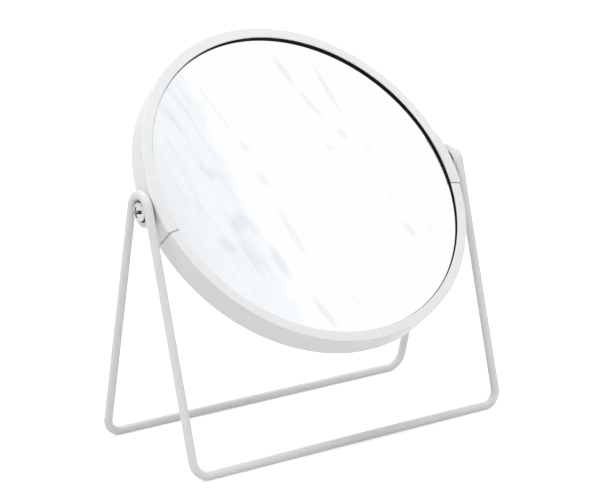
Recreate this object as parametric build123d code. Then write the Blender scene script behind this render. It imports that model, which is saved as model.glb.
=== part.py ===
from build123d import *
import math
import os

# Tabletop makeup mirror on a bent wire stand. Millimetres, +Z up, the front faces -Y, the floor
# is Z = 0 and the pivot axis runs along X, straight above the origin.
# Pieces of the head are drawn upright about the origin, in radius from the head's axis and depth
# forward of its middle plane, and are then leaned back and lifted to the pivot.

# Stand: one wire, bent into two legs with a loop on each side and a bar front and rear.
WIRE_DIAMETER = 4.2
BAR_HALF_DEPTH = 39.1
PIVOT_HEIGHT = 117.3
LOOP_ABOVE_PIVOT = 0.2
SIDE_SPREAD = 1.1
CORNER_RADIUS = 7.6

# Head: two rim halves round a flat front mirror and a magnifying rear mirror.
HEAD_LEAN = 40.0
RIM_RADIUS = 85.0
FACE_WIDTH = 5.15
RIM_HALF_DEPTH = 6.85
FACE_FALL = 0.1
RIM_WALL = 1.5
FLANGE = 1.2
FRONT_ROUND = 0.4
REAR_ROUND = 0.9
INNER_ROUND = 0.3
RIM_JOINT_GAP = 0.1

# Mirrors and what holds them.
GLASS = 1.8
GLASS_OVERLAP = 1.45
MAGNIFYING_RADIUS = 900.0
GASKET_LIP = 0.3
GASKET_TIP = 0.1
GASKET_FOOT = 0.3
GASKET_SKIRT = 0.3
GASKET_BELOW_FACE = 0.35
SPACER_WIDTH = 3.1

# Clips that close the rim joints at the pivots, and the threaded plates behind them.
CLIP_HALF_ANGLE = 10.1
CLIP_WEB = 1.55
CLIP_CHEEK = 0.35
CLIP_ROUND = 0.9
CLIP_CORNER_ROUND = 1.6
BOSS_HEIGHT = 0.2
BOSS_MARGIN = 0.3
PLATE_HALF_ANGLE = 8.2

# Pivot hardware.
SCREW_DIAMETER = 5.0
SCREW_HEAD_DIAMETER = 8.8
SCREW_BAND = 0.9
SCREW_DOME = 1.9
SLOT_SPAN = 7.0
SLOT_WIDTH = 1.4
SLOT_DEPTH = 1.9
WING_SPAN = 3.9
WING_WIDTH = 1.0
RECESS_DEPTH = 2.1
RECESS_HUB = 2.0
LUG_MARGIN = 2.2
LUG_THICKNESS = 1.0
LUG_WELD_DEPTH = 0.4
WASHER_MARGIN = 0.5
INNER_WASHER_INSET = 0.3
INNER_WASHER = 0.4
OUTER_WASHER = 1.6

# Fits, as clearances.
TURNING_FIT = 0.08
TURNING_PLAY = 0.05
SCREW_PASSAGE = 0.15
LOOP_CLEARANCE = 0.3
PLATE_FIT = 0.1
PLATE_SIDE_FIT = 0.8
SPACER_PLAY = 0.2

# Derived sizes of the head, outward from its axis.
OPENING_RADIUS = RIM_RADIUS - FACE_WIDTH
CHANNEL_RADIUS = RIM_RADIUS - RIM_WALL
CHANNEL_HALF_DEPTH = RIM_HALF_DEPTH - FLANGE
MIRROR_FACE = CHANNEL_HALF_DEPTH - GASKET_FOOT
GLASS_BACK = MIRROR_FACE - GLASS
GLASS_RADIUS = OPENING_RADIUS + GLASS_OVERLAP
SKIRT_RADIUS = GLASS_RADIUS + GASKET_SKIRT
PLATE_RADIUS = SKIRT_RADIUS + PLATE_FIT
PLATE_HALF_DEPTH = CHANNEL_HALF_DEPTH - PLATE_SIDE_FIT
CLIP_RADIUS = RIM_RADIUS + CLIP_WEB

# Derived sizes of the pivot hardware, outward along the pivot axis.
WASHER_RADIUS = SCREW_HEAD_DIAMETER / 2 + WASHER_MARGIN
BOSS_RADIUS = WASHER_RADIUS + BOSS_MARGIN
LUG_RADIUS = WASHER_RADIUS + LUG_MARGIN
INNER_WASHER_RADIUS = LUG_RADIUS - INNER_WASHER_INSET
PASSAGE_RADIUS = SCREW_DIAMETER / 2 + SCREW_PASSAGE
LUG_BORE_RADIUS = SCREW_DIAMETER / 2 + TURNING_FIT
SCREW_TIP = PLATE_RADIUS + PLATE_FIT
BOSS_FACE = CLIP_RADIUS + BOSS_HEIGHT
LUG_INNER = BOSS_FACE + INNER_WASHER + TURNING_PLAY
LUG_OUTER = LUG_INNER + LUG_THICKNESS
HEAD_SEAT = LUG_OUTER + TURNING_PLAY + OUTER_WASHER

# Derived sizes of the stand, which is bent to suit the head and its hardware.
WIRE_RADIUS = WIRE_DIAMETER / 2
LOOP_RADIUS = WASHER_RADIUS + LOOP_CLEARANCE + WIRE_RADIUS
LOOP_HEIGHT = PIVOT_HEIGHT + LOOP_ABOVE_PIVOT
LOOP_HALF_WIDTH = LUG_OUTER - LUG_WELD_DEPTH + WIRE_RADIUS
FOOT_HALF_WIDTH = LOOP_HALF_WIDTH - SIDE_SPREAD
SIDE_LEAN = SIDE_SPREAD / (PIVOT_HEIGHT - WIRE_RADIUS)
FAR = 2 * CLIP_RADIUS


def placed(shape):
    """Leans an upright piece of the head back about the pivot axis and lifts it to the pivot."""
    return Pos(0, 0, PIVOT_HEIGHT) * Rot(-HEAD_LEAN, 0, 0) * shape


def outline(corners):
    """Flat face from corners given as radius and forward depth."""
    points = [(radius, -forward) for radius, forward in corners]
    return make_face(Polyline(*points, close=True))


def rounded(face, corner, radius):
    """Rounds the one corner of a flat face that lies nearest to a radius and forward depth."""
    target = Vector(corner[0], -corner[1], 0)
    vertices = face.vertices()
    nearest = min(vertices, key=lambda vertex: (Vector(vertex.X, vertex.Y, vertex.Z) - target).length)
    return fillet(nearest, radius)


def turned(face):
    """Full ring about the head's axis from a flat face."""
    return revolve(face, axis=Axis.Y, revolution_arc=360)


def rod(start, end, radius):
    """Round bar along the pivot axis between two distances from the middle, on the right side."""
    blank = Cylinder(radius, end - start)
    return Pos((start + end) / 2, 0, 0) * Rot(0, 90, 0) * blank


def wedge(half_angle, outer_radius, corner_round):
    """Block of the right side within an angle each way of the pivot axis, its outer ends rounded."""
    reach = outer_radius * math.tan(math.radians(half_angle))
    tip = (0, 0)
    above = (outer_radius, reach)
    below = (outer_radius, -reach)
    triangle = make_face(Polyline(tip, above, below, close=True))
    sector = triangle & Circle(outer_radius)
    if corner_round:
        outer = sector.vertices().filter_by(lambda vertex: vertex.X > outer_radius / 2)
        sector = fillet(outer, corner_round)
    return extrude(Plane.XZ * sector, amount=FAR / 2, both=True)


def left_of(shape):
    """The same piece mirrored to the left side."""
    return mirror(shape, about=Plane.YZ)


def leg_meeting_height():
    """Height where the two legs of a side would meet, each lying along the circle of its loop."""
    rise = LOOP_HEIGHT - WIRE_RADIUS
    reach = math.hypot(BAR_HALF_DEPTH, rise)
    leg_angle = math.atan2(BAR_HALF_DEPTH, rise) - math.asin(LOOP_RADIUS / reach)
    return WIRE_RADIUS + BAR_HALF_DEPTH / math.tan(leg_angle)


def wire_stand():
    """One wire of round section, closed by a weld in each bar at the middle."""
    apex_height = leg_meeting_height()
    apex_half_width = FOOT_HALF_WIDTH + SIDE_LEAN * (apex_height - WIRE_RADIUS)
    front_middle = (0, -BAR_HALF_DEPTH, WIRE_RADIUS)
    front_corner = (FOOT_HALF_WIDTH, -BAR_HALF_DEPTH, WIRE_RADIUS)
    apex = (apex_half_width, 0, apex_height)
    rear_corner = (FOOT_HALF_WIDTH, BAR_HALF_DEPTH, WIRE_RADIUS)
    rear_middle = (0, BAR_HALF_DEPTH, WIRE_RADIUS)
    bends = [CORNER_RADIUS, LOOP_RADIUS, CORNER_RADIUS]
    path = FilletPolyline(front_middle, front_corner, apex, rear_corner, rear_middle, radius=bends)
    section = Plane(front_middle, z_dir=(1, 0, 0)) * Circle(WIRE_RADIUS)
    right_half = sweep(section, path=path)
    return right_half + left_of(right_half)


def pivot_lug(stand):
    """Round plate welded to the inner side of a loop, bored for the screw and bedded on the wire."""
    blank = rod(LUG_INNER, LUG_OUTER, LUG_RADIUS)
    bore = rod(LUG_INNER - LUG_THICKNESS, LUG_OUTER + LUG_THICKNESS, LUG_BORE_RADIUS)
    return Pos(0, 0, PIVOT_HEIGHT) * (blank - bore) - stand


def rim_envelope():
    """Outer form of the rim, without its channel: a solid ring."""
    front_outer = (RIM_RADIUS, RIM_HALF_DEPTH - FACE_FALL)
    rear_outer = (RIM_RADIUS, FACE_FALL - RIM_HALF_DEPTH)
    front_inner = (OPENING_RADIUS, RIM_HALF_DEPTH)
    rear_inner = (OPENING_RADIUS, -RIM_HALF_DEPTH)
    face = outline([front_inner, front_outer, rear_outer, rear_inner])
    face = rounded(face, front_outer, FRONT_ROUND)
    face = rounded(face, rear_outer, REAR_ROUND)
    return face, front_inner, rear_inner


def full_rim():
    """Both rim halves as one ring: a channel open towards the mirrors."""
    face, front_inner, rear_inner = rim_envelope()
    face = rounded(face, front_inner, INNER_ROUND)
    face = rounded(face, rear_inner, INNER_ROUND)
    inside = OPENING_RADIUS - RIM_WALL
    channel = outline([
        (inside, CHANNEL_HALF_DEPTH),
        (CHANNEL_RADIUS, CHANNEL_HALF_DEPTH),
        (CHANNEL_RADIUS, -CHANNEL_HALF_DEPTH),
        (inside, -CHANNEL_HALF_DEPTH),
    ])
    return turned(face - channel)


def rim_half(ring, upper):
    """Upper or lower half of the rim, short of the middle by half the joint gap."""
    height = FAR / 2
    middle = (height + RIM_JOINT_GAP) / 2
    side = middle if upper else -middle
    keep = Pos(0, 0, side) * Box(FAR, FAR / 2, height)
    passage = rod(OPENING_RADIUS, RIM_RADIUS + RIM_WALL, PASSAGE_RADIUS)
    return (ring & keep) - passage - left_of(passage)


def pivot_clip():
    """Saddle over the rim joint: a web outside the rim, a cheek on each face and a bored boss."""
    cheek_depth = RIM_HALF_DEPTH + CLIP_CHEEK
    front_outer = (CLIP_RADIUS, cheek_depth - FACE_FALL)
    rear_outer = (CLIP_RADIUS, FACE_FALL - cheek_depth)
    front_inner = (OPENING_RADIUS, cheek_depth)
    rear_inner = (OPENING_RADIUS, -cheek_depth)
    face = outline([front_inner, front_outer, rear_outer, rear_inner])
    face = rounded(face, front_outer, CLIP_ROUND)
    face = rounded(face, rear_outer, REAR_ROUND)
    saddle = turned(face) & wedge(CLIP_HALF_ANGLE, CLIP_RADIUS, CLIP_CORNER_ROUND)
    boss = rod(RIM_RADIUS - CLIP_WEB, BOSS_FACE, BOSS_RADIUS)
    inner_form, _, _ = rim_envelope()
    passage = rod(RIM_RADIUS - CLIP_WEB, BOSS_FACE + CLIP_WEB, PASSAGE_RADIUS)
    return saddle + boss - turned(inner_form) - passage


def thread_plate():
    """Curved plate behind the rim joint that the screw threads into."""
    face = outline([
        (PLATE_RADIUS, PLATE_HALF_DEPTH),
        (CHANNEL_RADIUS, PLATE_HALF_DEPTH),
        (CHANNEL_RADIUS, -PLATE_HALF_DEPTH),
        (PLATE_RADIUS, -PLATE_HALF_DEPTH),
    ])
    bore = rod(OPENING_RADIUS, RIM_RADIUS, SCREW_DIAMETER / 2)
    return (turned(face) & wedge(PLATE_HALF_ANGLE, RIM_RADIUS, 0)) - bore


def bowl_depth(radius):
    """How far the magnifying face lies inward of its own edge at a radius."""
    edge = math.sqrt(MAGNIFYING_RADIUS ** 2 - GLASS_RADIUS ** 2)
    return math.sqrt(MAGNIFYING_RADIUS ** 2 - radius ** 2) - edge


def front_mirror():
    """Flat round mirror glass."""
    face = outline([
        (0, MIRROR_FACE),
        (GLASS_RADIUS, MIRROR_FACE),
        (GLASS_RADIUS, GLASS_BACK),
        (0, GLASS_BACK),
    ])
    return turned(face)


def rear_mirror():
    """Magnifying mirror: a shallow bowl of even thickness, hollow towards the rear."""
    half = GLASS_RADIUS / 2
    outer = [(radius, MIRROR_FACE - bowl_depth(radius)) for radius in (0, half, GLASS_RADIUS)]
    inner = [(radius, GLASS_BACK - bowl_depth(radius)) for radius in (GLASS_RADIUS, half, 0)]
    edges = [
        ThreePointArc(*outer),
        Line(outer[2], inner[0]),
        ThreePointArc(*inner),
        Line(inner[2], outer[0]),
    ]
    return turned(make_face(edges))


def front_gasket():
    """Dark seal: a tapered lip inside the rim opening, a foot on the glass and a skirt round it."""
    lip_inner = OPENING_RADIUS - GASKET_LIP
    tip_inner = OPENING_RADIUS - GASKET_TIP
    top = RIM_HALF_DEPTH - GASKET_BELOW_FACE
    return turned(outline([
        (tip_inner, top),
        (OPENING_RADIUS, top),
        (OPENING_RADIUS, CHANNEL_HALF_DEPTH),
        (SKIRT_RADIUS, CHANNEL_HALF_DEPTH),
        (SKIRT_RADIUS, GLASS_BACK),
        (GLASS_RADIUS, GLASS_BACK),
        (GLASS_RADIUS, MIRROR_FACE),
        (lip_inner, MIRROR_FACE),
    ]))


def rear_gasket(bowl):
    """The same seal turned to the rear, its foot following the magnifying glass."""
    return mirror(front_gasket(), about=Plane.XZ) - bowl


def spacer_ring(bowl):
    """Ring that holds the two mirrors apart near their edges."""
    outer = GLASS_RADIUS - SPACER_PLAY
    inner = outer - SPACER_WIDTH
    face = outline([
        (inner, GLASS_BACK),
        (outer, GLASS_BACK),
        (outer, -GLASS_BACK),
        (inner, -GLASS_BACK),
    ])
    return turned(face) - bowl


def pivot_screw():
    """Domed screw with a slot and a short cross in it, threaded into the plate behind the clip."""
    shank_radius = SCREW_DIAMETER / 2
    head_radius = SCREW_HEAD_DIAMETER / 2
    band_end = HEAD_SEAT + SCREW_BAND
    crown = band_end + SCREW_DOME
    ball_radius = (head_radius ** 2 + SCREW_DOME ** 2) / (2 * SCREW_DOME)
    half_radius = head_radius / 2
    half_height = crown - ball_radius + math.sqrt(ball_radius ** 2 - half_radius ** 2)
    straight = Polyline(
        (crown, 0),
        (SCREW_TIP, 0),
        (SCREW_TIP, shank_radius),
        (HEAD_SEAT, shank_radius),
        (HEAD_SEAT, head_radius),
        (band_end, head_radius),
    )
    dome = ThreePointArc((band_end, head_radius), (half_height, half_radius), (crown, 0))
    body = revolve(make_face([*straight.edges(), dome]), axis=Axis.X, revolution_arc=360)
    slot = Pos(crown - SLOT_DEPTH / 2, 0, 0) * Box(SLOT_DEPTH, SLOT_SPAN, SLOT_WIDTH)
    recess = Pos(crown - RECESS_DEPTH / 2, 0, 0)
    along = recess * Box(RECESS_DEPTH, WING_SPAN, WING_WIDTH)
    across = recess * Box(RECESS_DEPTH, WING_WIDTH, WING_SPAN)
    hub = rod(crown - RECESS_DEPTH, crown, RECESS_HUB / 2)
    return body - slot - along - across - hub


def washer(start, thickness, radius):
    """Flat washer round the screw."""
    disc = rod(start, start + thickness, radius)
    return disc - rod(start - thickness, start + 2 * thickness, PASSAGE_RADIUS)


def save(name, shape):
    """Writes one node."""
    shape.label = name
    export_step(shape, os.path.join("parts", name + ".step"))
    print(name, "solids", len(shape.solids()), "volume", round(shape.volume, 1))


def main():
    """Builds every node in place and writes it."""
    os.makedirs("parts", exist_ok=True)
    stand = wire_stand()
    lug = pivot_lug(stand)
    ring = full_rim()
    clip = pivot_clip()
    plate = thread_plate()
    bowl = rear_mirror()
    screw = pivot_screw()
    inner_washer = washer(BOSS_FACE, INNER_WASHER, INNER_WASHER_RADIUS)
    outer_washer = washer(HEAD_SEAT - OUTER_WASHER, OUTER_WASHER, WASHER_RADIUS)
    save("wire_stand", stand)
    save("right_pivot_lug", lug)
    save("left_pivot_lug", left_of(lug))
    save("upper_rim", placed(rim_half(ring, True)))
    save("lower_rim", placed(rim_half(ring, False)))
    save("front_mirror", placed(front_mirror()))
    save("rear_mirror", placed(bowl))
    save("front_gasket", placed(front_gasket()))
    save("rear_gasket", placed(rear_gasket(bowl)))
    save("spacer_ring", placed(spacer_ring(bowl)))
    pairs = {
        "pivot_clip": clip,
        "thread_plate": plate,
        "pivot_screw": screw,
        "inner_washer": inner_washer,
        "outer_washer": outer_washer,
    }
    for name, shape in pairs.items():
        save("right_" + name, placed(shape))
        save("left_" + name, placed(left_of(shape)))


main()
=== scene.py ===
"""Tabletop makeup mirror: a round two-sided head that tilts between the loops of a bent wire stand.

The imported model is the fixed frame. Sizes here are millimetres in the same frame: +Z up, the glass
faces -Y and leans back, the pivot axis runs along X. Meshes are written in metres.
"""

import logging
import math
from dataclasses import dataclass
from enum import Enum
from typing import Any, Sequence

import bmesh
import bpy
import numpy as np
from mathutils import Matrix, Vector

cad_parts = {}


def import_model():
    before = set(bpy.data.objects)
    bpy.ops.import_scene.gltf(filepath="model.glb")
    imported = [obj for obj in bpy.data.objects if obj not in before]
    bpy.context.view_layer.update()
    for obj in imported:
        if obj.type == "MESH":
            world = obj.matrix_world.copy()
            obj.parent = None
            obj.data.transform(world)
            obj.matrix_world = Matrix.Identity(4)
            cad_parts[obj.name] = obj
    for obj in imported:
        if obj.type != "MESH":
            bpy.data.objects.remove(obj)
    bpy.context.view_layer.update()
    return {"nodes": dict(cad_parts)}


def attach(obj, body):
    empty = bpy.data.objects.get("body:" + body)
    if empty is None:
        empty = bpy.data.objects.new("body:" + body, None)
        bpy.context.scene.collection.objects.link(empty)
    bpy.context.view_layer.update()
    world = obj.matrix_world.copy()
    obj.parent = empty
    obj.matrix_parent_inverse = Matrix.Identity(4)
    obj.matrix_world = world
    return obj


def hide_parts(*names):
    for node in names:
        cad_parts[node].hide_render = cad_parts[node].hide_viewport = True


LOG = logging.getLogger("makeup_mirror")
MM = 0.001
MERGE_DISTANCE_M = 2e-7
CRISP_DEGREES = 38.0
WHITE = "#FFFFFF"
IMAGE_WIDTH_PX = 600
SENSOR_MM = 36.0


class Side(Enum):
    """Left or right of the mirror, as the user of the front glass sees it from outside."""

    LEFT = -1
    RIGHT = 1


class Half(Enum):
    """Upper or lower half of the rim."""

    UPPER = 1
    LOWER = -1


class Face(Enum):
    """Front or rear of the head."""

    FRONT = 1
    REAR = -1


class Change(Enum):
    """What other closed shapes do to a piece, under Blender's names."""

    CUT = "DIFFERENCE"
    JOIN = "UNION"


# Colour and node helpers


def linear(hex_colour: str) -> tuple[float, float, float, float]:
    """Turns an sRGB hex colour into linear red, green, blue and an alpha of 1.

    Args:
        hex_colour: Six hex digits after a hash sign.

    Returns:
        Four linear channel values.
    """
    channels = np.array([int(hex_colour[at:at + 2], 16) for at in (1, 3, 5)]) / 255.0
    low = channels / 12.92
    high = ((channels + 0.055) / 1.055) ** 2.4
    return (*np.where(channels <= 0.04045, low, high).tolist(), 1.0)


def add_node(tree: bpy.types.NodeTree, kind: str, settings: dict[str, Any] | None = None,
             inputs: dict[Any, Any] | None = None) -> bpy.types.Node:
    """Adds one node, sets its properties, and sets or links its inputs.

    Args:
        tree: Node tree that the node goes into.
        kind: Blender's name of the node type.
        settings: Property names and values.
        inputs: Input names or numbers, each with a value or with an output socket to link.

    Returns:
        The new node.
    """
    node = tree.nodes.new(kind)
    for name, value in (settings or {}).items():
        setattr(node, name, value)
    for name, value in (inputs or {}).items():
        if isinstance(value, bpy.types.NodeSocket):
            tree.links.new(value, node.inputs[name])
        else:
            node.inputs[name].default_value = value
    return node


def new_material(name: str) -> tuple[bpy.types.Material, bpy.types.NodeTree, bpy.types.Node]:
    """Makes an empty material with its output node.

    Args:
        name: Name of the material.

    Returns:
        The material, its node tree and its output node.
    """
    material = bpy.data.materials.new(name)
    material.use_nodes = True
    tree = material.node_tree
    tree.nodes.clear()
    return material, tree, add_node(tree, "ShaderNodeOutputMaterial")


def per_mm(period: float) -> float:
    """Noise scale, in waves per metre of Object coordinates, for a real period in millimetres."""
    return 1.0 / (period * MM)


# Finishes


@dataclass(frozen=True)
class CoatedFinish:
    """A smooth pale skin: powder coat on steel wire, or moulded ABS.

    The eye sees an even satin white whose highlights are broken softly by orange peel or by the
    fine spark texture of the mould, and whose tone drifts by a shade over a few centimetres.
    """

    name: str
    colour: str
    shade: str
    roughness: float
    roughness_drift: float
    grain_mm: float
    grain_height_mm: float
    drift_mm: float

    def material(self) -> bpy.types.Material:
        """Builds the finish.

        Returns:
            The material.
        """
        material, tree, output = new_material(self.name)
        place = add_node(tree, "ShaderNodeTexCoord").outputs["Object"]
        drift = add_node(tree, "ShaderNodeTexNoise", inputs={
            "Vector": place, "Scale": per_mm(self.drift_mm), "Detail": 2.0, "Roughness": 0.5})
        tone = add_node(tree, "ShaderNodeMix", {"data_type": "RGBA"}, {
            "Factor": drift.outputs["Fac"], "A": linear(self.colour), "B": linear(self.shade)})
        gloss = add_node(tree, "ShaderNodeMapRange", inputs={
            "Value": drift.outputs["Fac"], "From Min": 0.3, "From Max": 0.7,
            "To Min": self.roughness - self.roughness_drift,
            "To Max": self.roughness + self.roughness_drift})
        grain = add_node(tree, "ShaderNodeTexNoise", inputs={
            "Vector": place, "Scale": per_mm(self.grain_mm), "Detail": 3.0, "Roughness": 0.6})
        bump = add_node(tree, "ShaderNodeBump", inputs={
            "Strength": 0.6, "Distance": self.grain_height_mm * MM, "Height": grain.outputs["Fac"]})
        shader = add_node(tree, "ShaderNodeBsdfPrincipled", inputs={
            "Base Color": tone.outputs["Result"], "Roughness": gloss.outputs["Result"],
            "IOR": 1.5, "Normal": bump.outputs["Normal"]})
        tree.links.new(shader.outputs["BSDF"], output.inputs["Surface"])
        return material


@dataclass(frozen=True)
class SilveredGlass:
    """Float glass silvered at the back: a near perfect reflection with a trace of cool tint."""

    name: str
    colour: str
    roughness: float
    haze: float
    haze_mm: float

    def material(self) -> bpy.types.Material:
        """Builds the finish, its sharpness varied a little as wiped glass is.

        Returns:
            The material.
        """
        material, tree, output = new_material(self.name)
        place = add_node(tree, "ShaderNodeTexCoord").outputs["Object"]
        wipe = add_node(tree, "ShaderNodeTexNoise", inputs={
            "Vector": place, "Scale": per_mm(self.haze_mm), "Detail": 2.0})
        gloss = add_node(tree, "ShaderNodeMapRange", inputs={
            "Value": wipe.outputs["Fac"], "From Min": 0.35, "From Max": 0.75,
            "To Min": self.roughness, "To Max": self.roughness + self.haze})
        shader = add_node(tree, "ShaderNodeBsdfPrincipled", inputs={
            "Base Color": linear(self.colour), "Metallic": 1.0,
            "Roughness": gloss.outputs["Result"]})
        tree.links.new(shader.outputs["BSDF"], output.inputs["Surface"])
        return material


@dataclass(frozen=True)
class DarkPolymer:
    """Rubber, friction nylon or polystyrene: one dull colour, faintly mottled by its making."""

    name: str
    colour: str
    shade: str
    roughness: float
    grain_mm: float
    sheen_level: float
    grain_height_mm: float = 0.02

    def material(self) -> bpy.types.Material:
        """Builds the finish.

        Returns:
            The material.
        """
        material, tree, output = new_material(self.name)
        place = add_node(tree, "ShaderNodeTexCoord").outputs["Object"]
        grain = add_node(tree, "ShaderNodeTexNoise", inputs={
            "Vector": place, "Scale": per_mm(self.grain_mm), "Detail": 4.0})
        tone = add_node(tree, "ShaderNodeMix", {"data_type": "RGBA"}, {
            "Factor": grain.outputs["Fac"], "A": linear(self.colour), "B": linear(self.shade)})
        bump = add_node(tree, "ShaderNodeBump", inputs={
            "Strength": 0.5, "Distance": self.grain_height_mm * MM,
            "Height": grain.outputs["Fac"]})
        shader = add_node(tree, "ShaderNodeBsdfPrincipled", inputs={
            "Base Color": tone.outputs["Result"], "Roughness": self.roughness, "IOR": 1.5,
            "Specular IOR Level": self.sheen_level, "Normal": bump.outputs["Normal"]})
        tree.links.new(shader.outputs["BSDF"], output.inputs["Surface"])
        return material


@dataclass(frozen=True)
class TurnedMetal:
    """Plated steel: satin nickel on the screws, duller zinc on the plates.

    Rings left by turning run round the pivot axis and spread each highlight across them. Painted
    shade darkens the recess of a screw, as much as the piece's "sunk" attribute says.
    """

    name: str
    colour: str
    # Colour of the painted shade in a screw's recess.
    recess_shade: str
    roughness: float
    metallic: float
    ring_mm: float
    ring_height_mm: float
    spot_mm: float = 0.9

    def material(self, pivot_height: float) -> bpy.types.Material:
        """Builds the finish: the ring pattern is the sine of the distance from the pivot axis.

        Args:
            pivot_height: Height of the pivot axis, in millimetres.

        Returns:
            The material.
        """
        material, tree, output = new_material(self.name)
        place = add_node(tree, "ShaderNodeTexCoord").outputs["Object"]
        centred = add_node(tree, "ShaderNodeMapping", inputs={
            "Vector": place, "Location": (0.0, 0.0, -pivot_height * MM)})
        across = add_node(tree, "ShaderNodeVectorMath", {"operation": "MULTIPLY"}, {
            0: centred.outputs["Vector"], 1: (0.0, 1.0, 1.0)})
        reach = add_node(tree, "ShaderNodeVectorMath", {"operation": "LENGTH"}, {
            0: across.outputs["Vector"]})
        turns = add_node(tree, "ShaderNodeMath", {"operation": "MULTIPLY"}, {
            0: reach.outputs["Value"], 1: 2.0 * math.pi * per_mm(self.ring_mm)})
        rings = add_node(tree, "ShaderNodeMath", {"operation": "SINE"}, {0: turns.outputs["Value"]})
        spots = add_node(tree, "ShaderNodeTexNoise", inputs={
            "Vector": place, "Scale": per_mm(self.spot_mm), "Detail": 3.0})
        height = add_node(tree, "ShaderNodeMath", {"operation": "ADD"}, {
            0: rings.outputs["Value"], 1: spots.outputs["Fac"]})
        bump = add_node(tree, "ShaderNodeBump", inputs={
            "Strength": 0.5, "Distance": self.ring_height_mm * MM,
            "Height": height.outputs["Value"]})
        gloss = add_node(tree, "ShaderNodeMapRange", inputs={
            "Value": spots.outputs["Fac"], "From Min": 0.3, "From Max": 0.7,
            "To Min": self.roughness * 0.8, "To Max": self.roughness * 1.25})
        # Painted shade: the "sunk" attribute mixes the recess colour into the screw's recess.
        sunk = add_node(tree, "ShaderNodeAttribute", {"attribute_name": "sunk"})
        tone = add_node(tree, "ShaderNodeMix", {"data_type": "RGBA"}, {
            "Factor": sunk.outputs["Fac"], "A": linear(self.colour), "B": linear(self.recess_shade)})
        shader = add_node(tree, "ShaderNodeBsdfPrincipled", inputs={
            "Base Color": tone.outputs["Result"], "Metallic": self.metallic,
            "Roughness": gloss.outputs["Result"], "Normal": bump.outputs["Normal"]})
        tree.links.new(shader.outputs["BSDF"], output.inputs["Surface"])
        return material


@dataclass(frozen=True)
class Finishes:
    """Every finish of the mirror, made once.

    The two whites differ by a shade, as coat on metal and dyed plastic do. Orange peel, mould
    spark and turning marks are finer than a pixel of the whole view: each is drawn at the size
    where a close view still shows it and a far view only feels it as a softer highlight.
    """

    # Cured powder coat on bent wire: a satin skin with an orange peel of about a millimetre.
    powder_coat: CoatedFinish = CoatedFinish(
        name="white_powder_coat_on_steel_wire", colour="#F0F0EF", shade="#EBEBEB",
        roughness=0.38, roughness_drift=0.04, grain_mm=0.9, grain_height_mm=0.012,
        drift_mm=45.0)
    # Moulded ABS from a finely sparked mould: a smoother satin than the coat.
    rim: CoatedFinish = CoatedFinish(
        name="white_moulded_abs_rim", colour="#F2F2F2", shade="#EEEEEF", roughness=0.34,
        roughness_drift=0.03, grain_mm=0.35, grain_height_mm=0.006, drift_mm=38.0)
    # The same ABS from another mould: a shade greyer, so the clips part from the rim.
    clip: CoatedFinish = CoatedFinish(
        name="white_moulded_abs_clip", colour="#F0F0EF", shade="#ECECEC", roughness=0.36,
        roughness_drift=0.03, grain_mm=0.35, grain_height_mm=0.006, drift_mm=30.0)
    # Float glass with a silver back: a sharp reflection, a trace softer where it was wiped.
    glass: SilveredGlass = SilveredGlass(
        name="silvered_float_glass", colour="#FEFEFE", roughness=0.0, haze=0.03, haze_mm=60.0)
    # Extruded rubber: a matt black line that gives back almost no light. Its lip, seen again in the
    # glass by the rim, also stands in for the shade under the rim's flange, as painted shade.
    rubber: DarkPolymer = DarkPolymer(
        name="extruded_black_rubber_and_lip_shade", colour="#0F1011", shade="#161718", roughness=0.8,
        grain_mm=0.8, sheen_level=0.12)
    # Friction nylon: as dark as the rubber, with a faint dull shine on its edges. Its black also
    # stands in for the shade in the gaps round the screw's head and beside the loop, as painted
    # shade.
    nylon: DarkPolymer = DarkPolymer(
        name="black_friction_nylon_and_gap_shade", colour="#0E0E0F", shade="#141415", roughness=0.55,
        grain_mm=0.5, sheen_level=0.2)
    # Moulded polystyrene of the hidden ring: plain mid grey.
    spacer: DarkPolymer = DarkPolymer(
        name="grey_moulded_polystyrene", colour="#9A9B9D", shade="#929395", roughness=0.5,
        grain_mm=0.8, sheen_level=0.5)
    # Satin nickel over turned steel, with painted shade in its screws' recess. It is well below
    # fully metallic, because the photograph shows it paler and more even than bare metal would look
    # among white surroundings.
    nickel: TurnedMetal = TurnedMetal(
        name="satin_nickel_plated_steel", colour="#E4E4E3", recess_shade="#0C0C0D", roughness=0.42,
        metallic=0.35, ring_mm=0.24, ring_height_mm=0.0015)
    # Zinc on the hidden plates: greyer and duller, with coarser rings.
    zinc: TurnedMetal = TurnedMetal(
        name="zinc_plated_steel", colour="#B4B6B8", recess_shade="#55585A", roughness=0.4,
        metallic=1.0, ring_mm=0.5, ring_height_mm=0.004)


# Mesh helpers


def arc_corner(before: np.ndarray, corner: np.ndarray, after: np.ndarray, radius: float,
               step_degrees: float) -> tuple[np.ndarray, np.ndarray, np.ndarray]:
    """Rounds a corner between two straight runs, in two or three dimensions.

    The arc's centre lies on the halving line of the corner at radius over the sine of half the
    angle between the runs. A point of the arc is the centre, plus the spoke to the arc's start
    times the cosine of the angle turned, plus the start's direction times the radius and the sine.

    Args:
        before: Point that the first run comes from.
        corner: Sharp corner.
        after: Point that the second run goes to.
        radius: Radius of the arc.
        step_degrees: Largest turn between neighbouring points.

    Returns:
        The arc's points, the angle turned at each, and the spoke and direction at its start.
    """
    back = (before - corner) / np.linalg.norm(before - corner)
    ahead = (after - corner) / np.linalg.norm(after - corner)
    between = math.acos(float(np.clip(back @ ahead, -1.0, 1.0)))
    halving = (back + ahead) / np.linalg.norm(back + ahead)
    centre = corner + halving * radius / math.sin(between / 2)
    start = corner + back * radius / math.tan(between / 2)
    bend = math.pi - between
    steps = max(1, math.ceil(math.degrees(bend) / step_degrees))
    turned = np.linspace(0.0, bend, steps + 1)
    spoke = start - centre
    points = centre + np.cos(turned)[:, None] * spoke - np.sin(turned)[:, None] * back * radius
    return points, turned, np.stack([spoke / radius, -back])


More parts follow.
